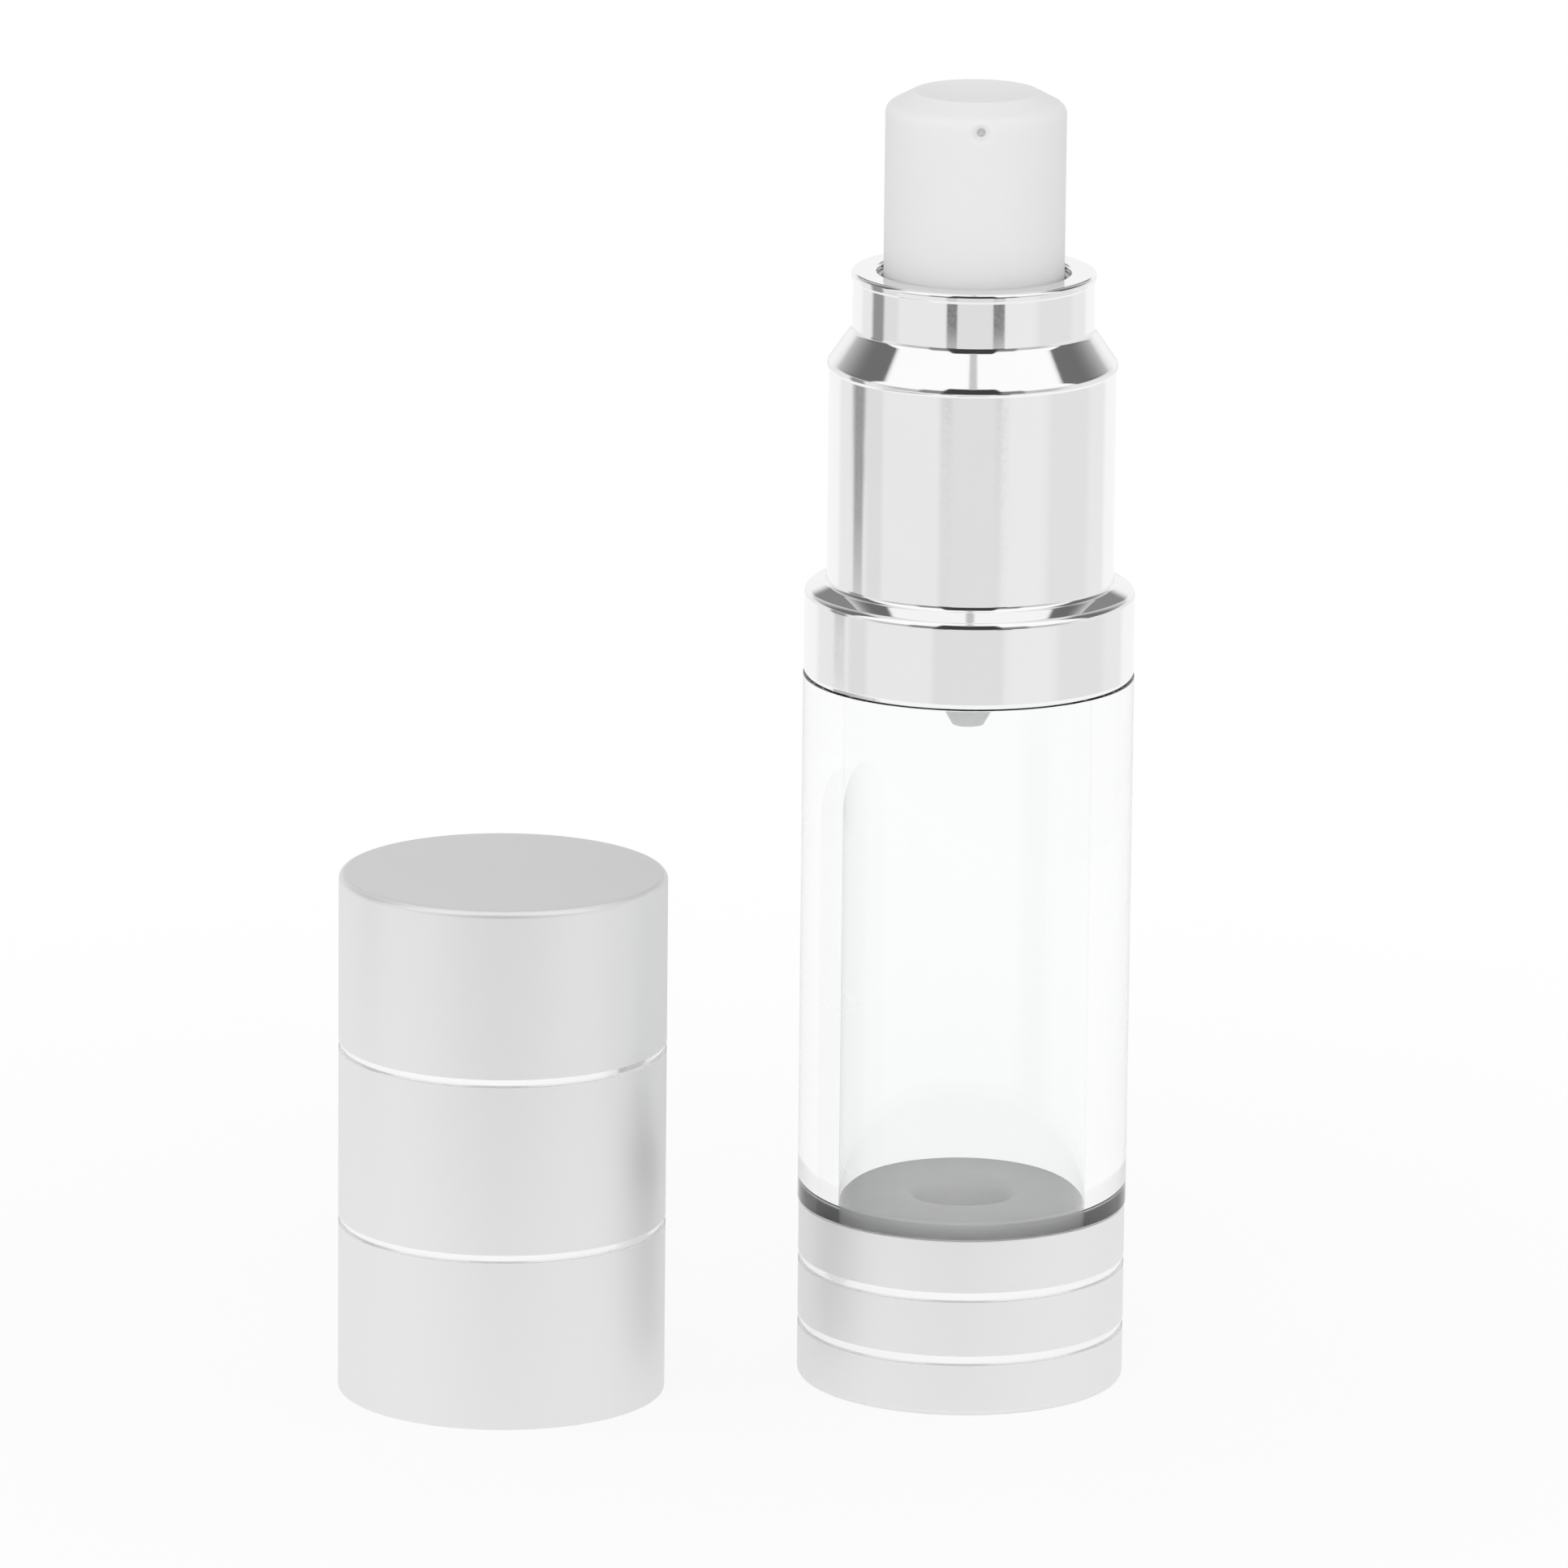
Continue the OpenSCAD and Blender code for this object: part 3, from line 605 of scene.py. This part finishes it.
# The button is a turned surface whose nozzle window is cut out of the grid. Rings then run from the
# window's frame to a circle, point = frame (1 - s) + circle s on the wall, and on down the nozzle:
# out * (sqrt(wall^2 - u^2) - depth) + across * u, with u and v on a circle of the step's radius.
def buttonSurface(b):
    outline, first = buttonOutline(b)
    around = b["around"]
    startAngle = math.radians(b["nozzleDegrees"])
    points, faces = turned(outline, around, startAngle=startAngle)
    m, rows = b["windowColumns"], b["windowRows"]
    base = first - 1  # the outline's pole is no row of the grid

    def cell(i, j):
        return (base + i) * around + j % around

    bottom = [cell(0, j) for j in range(-m, m)]
    right = [cell(i, m) for i in range(rows)]
    upper = [cell(rows, j) for j in range(m, -m, -1)]
    left = [cell(i, -m) for i in range(rows, 0, -1)]
    frameLoop = np.array(bottom + right + upper + left)
    inWindow = {cell(i, j) for i in range(rows) for j in range(-m, m)}
    faces = [f for f in faces if not (len(f) == 4 and int(f[0]) in inWindow)]

    out = np.array([math.cos(startAngle), math.sin(startAngle), 0])
    across = np.array([-math.sin(startAngle), math.cos(startAngle), 0])
    flat = points[frameLoop] / mm
    u, v = flat @ across, flat[:, 2] - b["nozzleHeight"]
    direction = np.arctan2(v, u)
    circle = np.stack([np.cos(direction), np.sin(direction)], 1)
    wallRows = outline[first:first + rows + 1]

    def under(place, depth):
        height = place[:, 1] + b["nozzleHeight"]
        wall = np.interp(height, wallRows[:, 1], wallRows[:, 0])
        reach = np.sqrt(wall ** 2 - place[:, 0] ** 2) - depth
        return reach[:, None] * out + place[:, 0:1] * across + height[:, None] * np.array([0, 0, 1])

    mouth = nozzleSteps[0][0]
    rings = [under(np.stack([u, v], 1) * (1 - share) + circle * mouth * share, 0)
             for share in b["frameShares"]]
    rings += [under(circle * radius, depth) for radius, depth in nozzleSteps]
    end = (b["radius"] - nozzleSteps[-1][1]) * out + b["nozzleHeight"] * np.array([0, 0, 1])
    start = len(points)
    count = len(frameLoop)
    points = np.vstack([points, np.concatenate(rings) * mm, end[None] * mm])
    loops = np.vstack([frameLoop[None], start + np.arange(len(rings) * count).reshape(len(rings), count)])
    here, there = loops[:-1], loops[1:]
    quads = np.stack([here, np.roll(here, -1, 1), np.roll(there, -1, 1), there], -1).reshape(-1, 4)
    last = loops[-1]
    cap = np.stack([last, np.roll(last, -1), np.full(count, len(points) - 1)], 1)
    return points, faces + list(quads) + list(cap)


makePiece("pushButton", *buttonSurface(pushButton), frosted, "head", "frosted_plastic", ["actuator"])
print("actuator made")


# Cap

capPlace = (-39.1, -5.4)
capShell = {"radius": 13.9, "wall": 0.6, "height": 45.0, "roof": 0.7, "edge": 0.55,
            "grooves": (14.92, 30.18), "grooveWidth": 0.7, "spacing": 3.0, "around": 256}
capLiner = {"radius": 13.2, "bore": 12.4, "mouth": 12.7, "mouthTop": 1.0, "foot": 0.4, "top": 44.25,
            "ceiling": 43.4, "spacing": 3.0, "around": 192}


# A thin cup, mouth down, from the pole under its roof to the pole on top of it
def capOutline(c):
    inner = c["radius"] - c["wall"]
    corners = [(0.0, c["height"] - c["roof"]), (inner, c["height"] - c["roof"], 0.4),
               (inner, 0.0, 0.08), (c["radius"], 0.0, 0.12)]
    for height in c["grooves"]:
        corners += grooveCorners(c["radius"], height, c["grooveWidth"])
    corners += [(c["radius"], c["height"], c["edge"]), (0.0, c["height"])]
    return divided(rounded(corners, False), c["spacing"], False)


# A thicker cup inside it, whose mouth widens downwards
def linerOutline(c):
    corners = [
        (0.0, c["ceiling"]), (c["bore"], c["ceiling"], 0.5), (c["bore"], c["mouthTop"], 0.3),
        (c["mouth"], c["foot"], 0.06), (c["radius"], c["foot"], 0.06),
        (c["radius"], c["top"], 0.3), (0.0, c["top"]),
    ]
    return divided(rounded(corners, False), c["spacing"], False)


cap = makePiece("capShell", *turned(capOutline(capShell), capShell["around"], centre=capPlace), satin,
                "cap", "satin_metal", ["cap_shell"])
markPolish(cap, capShell["grooves"], capShell["grooveWidth"], capShell["radius"], capPlace)
makePiece("capLiner", *turned(linerOutline(capLiner), capLiner["around"], centre=capPlace), whitePlastic,
          "cap", "white_plastic", ["cap_liner"])
print("cap made")


# Carried-over solids

carried = {
    "base_plug": whitePlastic, "mouth_gasket": gasketFoam, "pump_housing": naturalPlastic,
    "stem_turret": naturalPlastic, "inlet_ball": ballSteel, "valve_rod": naturalPlastic,
    "pump_stem": naturalPlastic, "pump_piston": sealPlastic,
}
for nodeName, finish in carried.items():
    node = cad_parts[nodeName]
    if not node.material_slots:
        node.data.materials.append(finish)
    for holder in node.material_slots:
        holder.material = finish
print("carried-over solids finished")


# Floor

floorDisc = {"radius": 0.22, "centre": (-0.02, 0.0), "rings": 24, "around": 96, "mirrored": 0.9,
             "fadeFrom": 0.04, "fadeTo": 0.9, "nearWhite": 0.85, "paint": (0.9, 0.9, 0.9, 1)}


# A flat disc: rings of points r = radius * i / rings, closed by one point in the middle.
def makeFloor(f):
    r = f["radius"] * np.arange(1, f["rings"] + 1) / f["rings"]
    a = 2 * np.pi * np.arange(f["around"]) / f["around"]
    points = np.stack([
        f["centre"][0] + r[:, None] * np.cos(a), f["centre"][1] + r[:, None] * np.sin(a),
        np.zeros((f["rings"], f["around"]))], -1).reshape(-1, 3)
    points = np.vstack([points, [[*f["centre"], 0.0]]])
    j = np.arange(f["around"])
    faces = list(gridFaces(f["rings"], f["around"])[:, ::-1])
    faces += list(np.stack([0 * j + len(points) - 1, j, (j + 1) % f["around"]], 1))
    mesh = bpy.data.meshes.new("floor")
    mesh.from_pydata(points.tolist(), [], [x.tolist() for x in faces])
    mesh.update()
    floor = bpy.data.objects.new("floor", mesh)
    scene.collection.objects.link(floor)
    return floor


# Where a ray looks straight or through the clear tube, and where it looks by way of a mirror
def raysSeen(tree):
    path = addNode(tree, "ShaderNodeLightPath")
    seen = addNode(tree, "ShaderNodeMath",
                   [(0, path.outputs["Is Camera Ray"]), (1, path.outputs["Is Transmission Ray"])],
                   operation="MAXIMUM")
    return seen.outputs[0], path.outputs["Is Glossy Ray"]


# The floor is pale, and shows white to the eye and in metal and glass, more so towards its rim.
def floorMaterial(f):
    material = bpy.data.materials.new("paleFloor")
    material.use_nodes = True
    tree = material.node_tree
    tree.nodes.clear()
    place = addNode(tree, "ShaderNodeTexCoord")
    away = addNode(tree, "ShaderNodeVectorMath", [(0, place.outputs["Object"])], operation="DISTANCE")
    away.inputs[1].default_value = (*f["centre"], 0.0)
    share = addNode(tree, "ShaderNodeMapRange", [("Value", away.outputs["Value"])],
                    interpolation_type="SMOOTHSTEP")
    share.inputs["From Min"].default_value = f["fadeFrom"]
    share.inputs["From Max"].default_value = f["radius"] * f["fadeTo"]
    share.inputs["To Min"].default_value = f["nearWhite"]
    share.inputs["To Max"].default_value = 1.0
    seen, glossy = raysSeen(tree)
    direct = addNode(tree, "ShaderNodeMath", [(0, seen), (1, share.outputs["Result"])],
                     operation="MULTIPLY")
    mirrored = addNode(tree, "ShaderNodeMath", [(0, glossy)], operation="MULTIPLY", in_1=f["mirrored"])
    fac = addNode(tree, "ShaderNodeMath", [(0, direct.outputs[0]), (1, mirrored.outputs[0])],
                  operation="MAXIMUM")
    pale = addNode(tree, "ShaderNodeBsdfDiffuse", in_Color=f["paint"])
    white = addNode(tree, "ShaderNodeEmission", in_Color=(1, 1, 1, 1), in_Strength=1.0)
    mix = addNode(tree, "ShaderNodeMixShader",
                  [("Fac", fac.outputs[0]), (1, pale.outputs[0]), (2, white.outputs[0])])
    addNode(tree, "ShaderNodeOutputMaterial", [("Surface", mix.outputs[0])])
    return material


floor = makeFloor(floorDisc)
floor.data.materials.append(floorMaterial(floorDisc))
print("floor made")


# Studio

# Panels of the studio as a mirror sees them. Azimuth 0 is the front, and both angles are in degrees:
# where a panel starts to show, is full, starts to fade and is gone. Later panels lie over earlier
# ones, and "mirrored" panels stand on both sides.
studio = {
    "diffuse": 0.85,
    "ground": 0.86,
    "panels": [
        {"azimuth": (-200, -190, 190, 200), "elevation": (3, 7, 90, 91), "level": 0.8},
        {"azimuth": (-29, -23, 20, 26), "elevation": (-61, -60, -10, -8), "level": 0.78},
        {"azimuth": (23, 29, 55, 61), "elevation": (-61, -60, -10, -8), "level": 0.88},
        {"azimuth": (60, 68, 102, 112), "elevation": (-61, -60, -10, -8), "level": 0.8},
        {"azimuth": (-96, -91, -80, -74), "elevation": (-61, -60, -10, -8), "level": 0.77},
        {"azimuth": (128, 138, 190, 200), "elevation": (-61, -60, -10, -8), "level": 0.97, "mirrored": True},
        {"azimuth": (-112, -107, -100, -96), "elevation": (-13.5, -12.5, 8, 12), "level": 0.35},
        {"azimuth": (-116, -109, -98, -92), "elevation": (-12.5, -12, 8, 12), "level": 0.3},
        {"azimuth": (-85, -60, 60, 85), "elevation": (-8.5, -7, 14, 18), "level": 0.55},
        {"azimuth": (4, 6, 86, 90), "elevation": (15, 20, 78, 82), "level": 1.04, "mirrored": True},
        {"azimuth": (-46, -40, 38, 44), "elevation": (-8.5, -6, 18, 30), "level": 0.25},
        {"azimuth": (-26, -22, 20, 24), "elevation": (-8.5, -7, 48, 52), "level": 0.05},
        {"azimuth": (-27, -25, -17, -15), "elevation": (-12, -10.6, -2, 0), "level": 0.15},
        {"azimuth": (17, 19, 28, 30), "elevation": (-12, -10.6, -2, 0), "level": 0.15},
        {"azimuth": (-5, -3, 3, 5), "elevation": (45, 48, 90, 91), "level": 0.6},
        {"azimuth": (89, 92, 110, 165), "elevation": (10, 16, 48, 56), "level": 0.16, "mirrored": True},
        {"azimuth": (150, 158, 190, 200), "elevation": (17, 22, 42, 50), "level": 0.25, "mirrored": True},
        {"azimuth": (140, 155, 190, 200), "elevation": (-5, 0, 15, 18), "level": 0.95, "mirrored": True},
    ],
}


# 1 from full to fade, 0 before start and past end, and smooth steps between
def window(tree, value, start, full, fade, end):
    rise = addNode(tree, "ShaderNodeMapRange", [("Value", value)], interpolation_type="SMOOTHSTEP")
    rise.inputs["From Min"].default_value = start
    rise.inputs["From Max"].default_value = full
    fall = addNode(tree, "ShaderNodeMapRange", [("Value", value)], interpolation_type="SMOOTHSTEP")
    fall.inputs["From Min"].default_value = fade
    fall.inputs["From Max"].default_value = end
    fall.inputs["To Min"].default_value = 1.0
    fall.inputs["To Max"].default_value = 0.0
    both = addNode(tree, "ShaderNodeMath", [(0, rise.outputs["Result"]), (1, fall.outputs["Result"])],
                   operation="MULTIPLY")
    return both.outputs[0]


# An angle worked out by a Math node, in degrees
def degreesOf(tree, operation, *sources):
    links = list(enumerate(sources))
    angle = addNode(tree, "ShaderNodeMath", links, operation=operation)
    return addNode(tree, "ShaderNodeMath", [(0, angle.outputs[0])], operation="DEGREES").outputs[0]


# The panels laid over each other as grey levels. Only mirrors see them: the eye and the clear tube see
# white, and every other ray meets one even level.
def makeWorld(s):
    world = bpy.data.worlds.new("studio")
    scene.world = world
    world.use_nodes = True
    tree = world.node_tree
    tree.nodes.clear()
    place = addNode(tree, "ShaderNodeTexCoord")
    split = addNode(tree, "ShaderNodeSeparateXYZ", [(0, place.outputs["Generated"])])
    elevation = degreesOf(tree, "ARCSINE", split.outputs["Z"])
    front = addNode(tree, "ShaderNodeMath", [(0, split.outputs["Y"])], operation="MULTIPLY", in_1=-1.0)
    azimuth = degreesOf(tree, "ARCTAN2", split.outputs["X"], front.outputs[0])
    sideways = addNode(tree, "ShaderNodeMath", [(0, azimuth)], operation="ABSOLUTE").outputs[0]
    level = None
    for panel in s["panels"]:
        around = sideways if panel.get("mirrored") else azimuth
        inside = addNode(tree, "ShaderNodeMath", [
            (0, window(tree, around, *panel["azimuth"])),
            (1, window(tree, elevation, *panel["elevation"]))], operation="MULTIPLY")
        links = [("Factor", inside.outputs[0])] + ([(2, level)] if level else [])
        mix = addNode(tree, "ShaderNodeMix", links, data_type="FLOAT")
        if not level:
            mix.inputs[2].default_value = s["ground"]
        mix.inputs[3].default_value = panel["level"]
        level = mix.outputs[0]
    seen, glossy = raysSeen(tree)
    plain = addNode(tree, "ShaderNodeMix", [("Factor", glossy), (3, level)], data_type="FLOAT")
    plain.inputs[2].default_value = s["diffuse"]
    whole = addNode(tree, "ShaderNodeMix", [("Factor", seen), (2, plain.outputs[0])], data_type="FLOAT")
    whole.inputs[3].default_value = 1.0
    back = addNode(tree, "ShaderNodeBackground", [("Strength", whole.outputs[0])], in_Color=(1, 1, 1, 1))
    addNode(tree, "ShaderNodeOutputWorld", [("Surface", back.outputs[0])])


makeWorld(studio)

softBox = {"place": (-0.12, -0.95, 0.5), "aim": (-0.015, 0.0, 0.05), "size": 0.7, "energy": 2.4}


# The matrix that stands a lamp or camera at a place, with its own three axes given
def standing(right, up, back, place):
    return Matrix([(right[i], up[i], back[i], place[i]) for i in range(3)] + [(0, 0, 0, 1)])


# A square lamp that faces its aim, kept out of the mirrors
def makeLamp(s):
    lamp = bpy.data.lights.new("softBox", "AREA")
    lamp.energy, lamp.size = s["energy"], s["size"]
    holder = bpy.data.objects.new("softBox", lamp)
    scene.collection.objects.link(holder)
    away = np.array(s["place"]) - np.array(s["aim"])
    away = away / np.linalg.norm(away)
    aside = np.cross([0, 0, 1], away)
    aside = aside / np.linalg.norm(aside)
    holder.matrix_world = standing(aside, np.cross(away, aside), away, s["place"])
    holder.visible_glossy = False


makeLamp(softBox)
print("studio made")


# Camera

viewpoint = {"place": (-0.015505, -1.067897, 0.314371), "tilt": 13.82658, "roll": 0.57948,
             "lens": 298.137, "sensor": 36.0, "clip": (0.05, 20.0)}


# A camera level with the floor's X, tilted down and then rolled about its view. Angles are degrees,
# lens and sensor millimetres.
def makeCamera(v):
    data = bpy.data.cameras.new("camera")
    data.lens, data.sensor_width = v["lens"], v["sensor"]
    data.clip_start, data.clip_end = v["clip"]
    camera = bpy.data.objects.new("camera", data)
    scene.collection.objects.link(camera)
    tilt, roll = math.radians(v["tilt"]), math.radians(v["roll"])
    level = np.array([1.0, 0.0, 0.0])
    upright = np.array([0.0, math.sin(tilt), math.cos(tilt)])
    right = math.cos(roll) * level + math.sin(roll) * upright
    up = -math.sin(roll) * level + math.cos(roll) * upright
    back = np.array([0.0, -math.cos(tilt), math.sin(tilt)])
    camera.matrix_world = standing(right, up, back, v["place"])
    scene.camera = camera


makeCamera(viewpoint)
scene.view_settings.view_transform = "Standard"
print("camera placed")
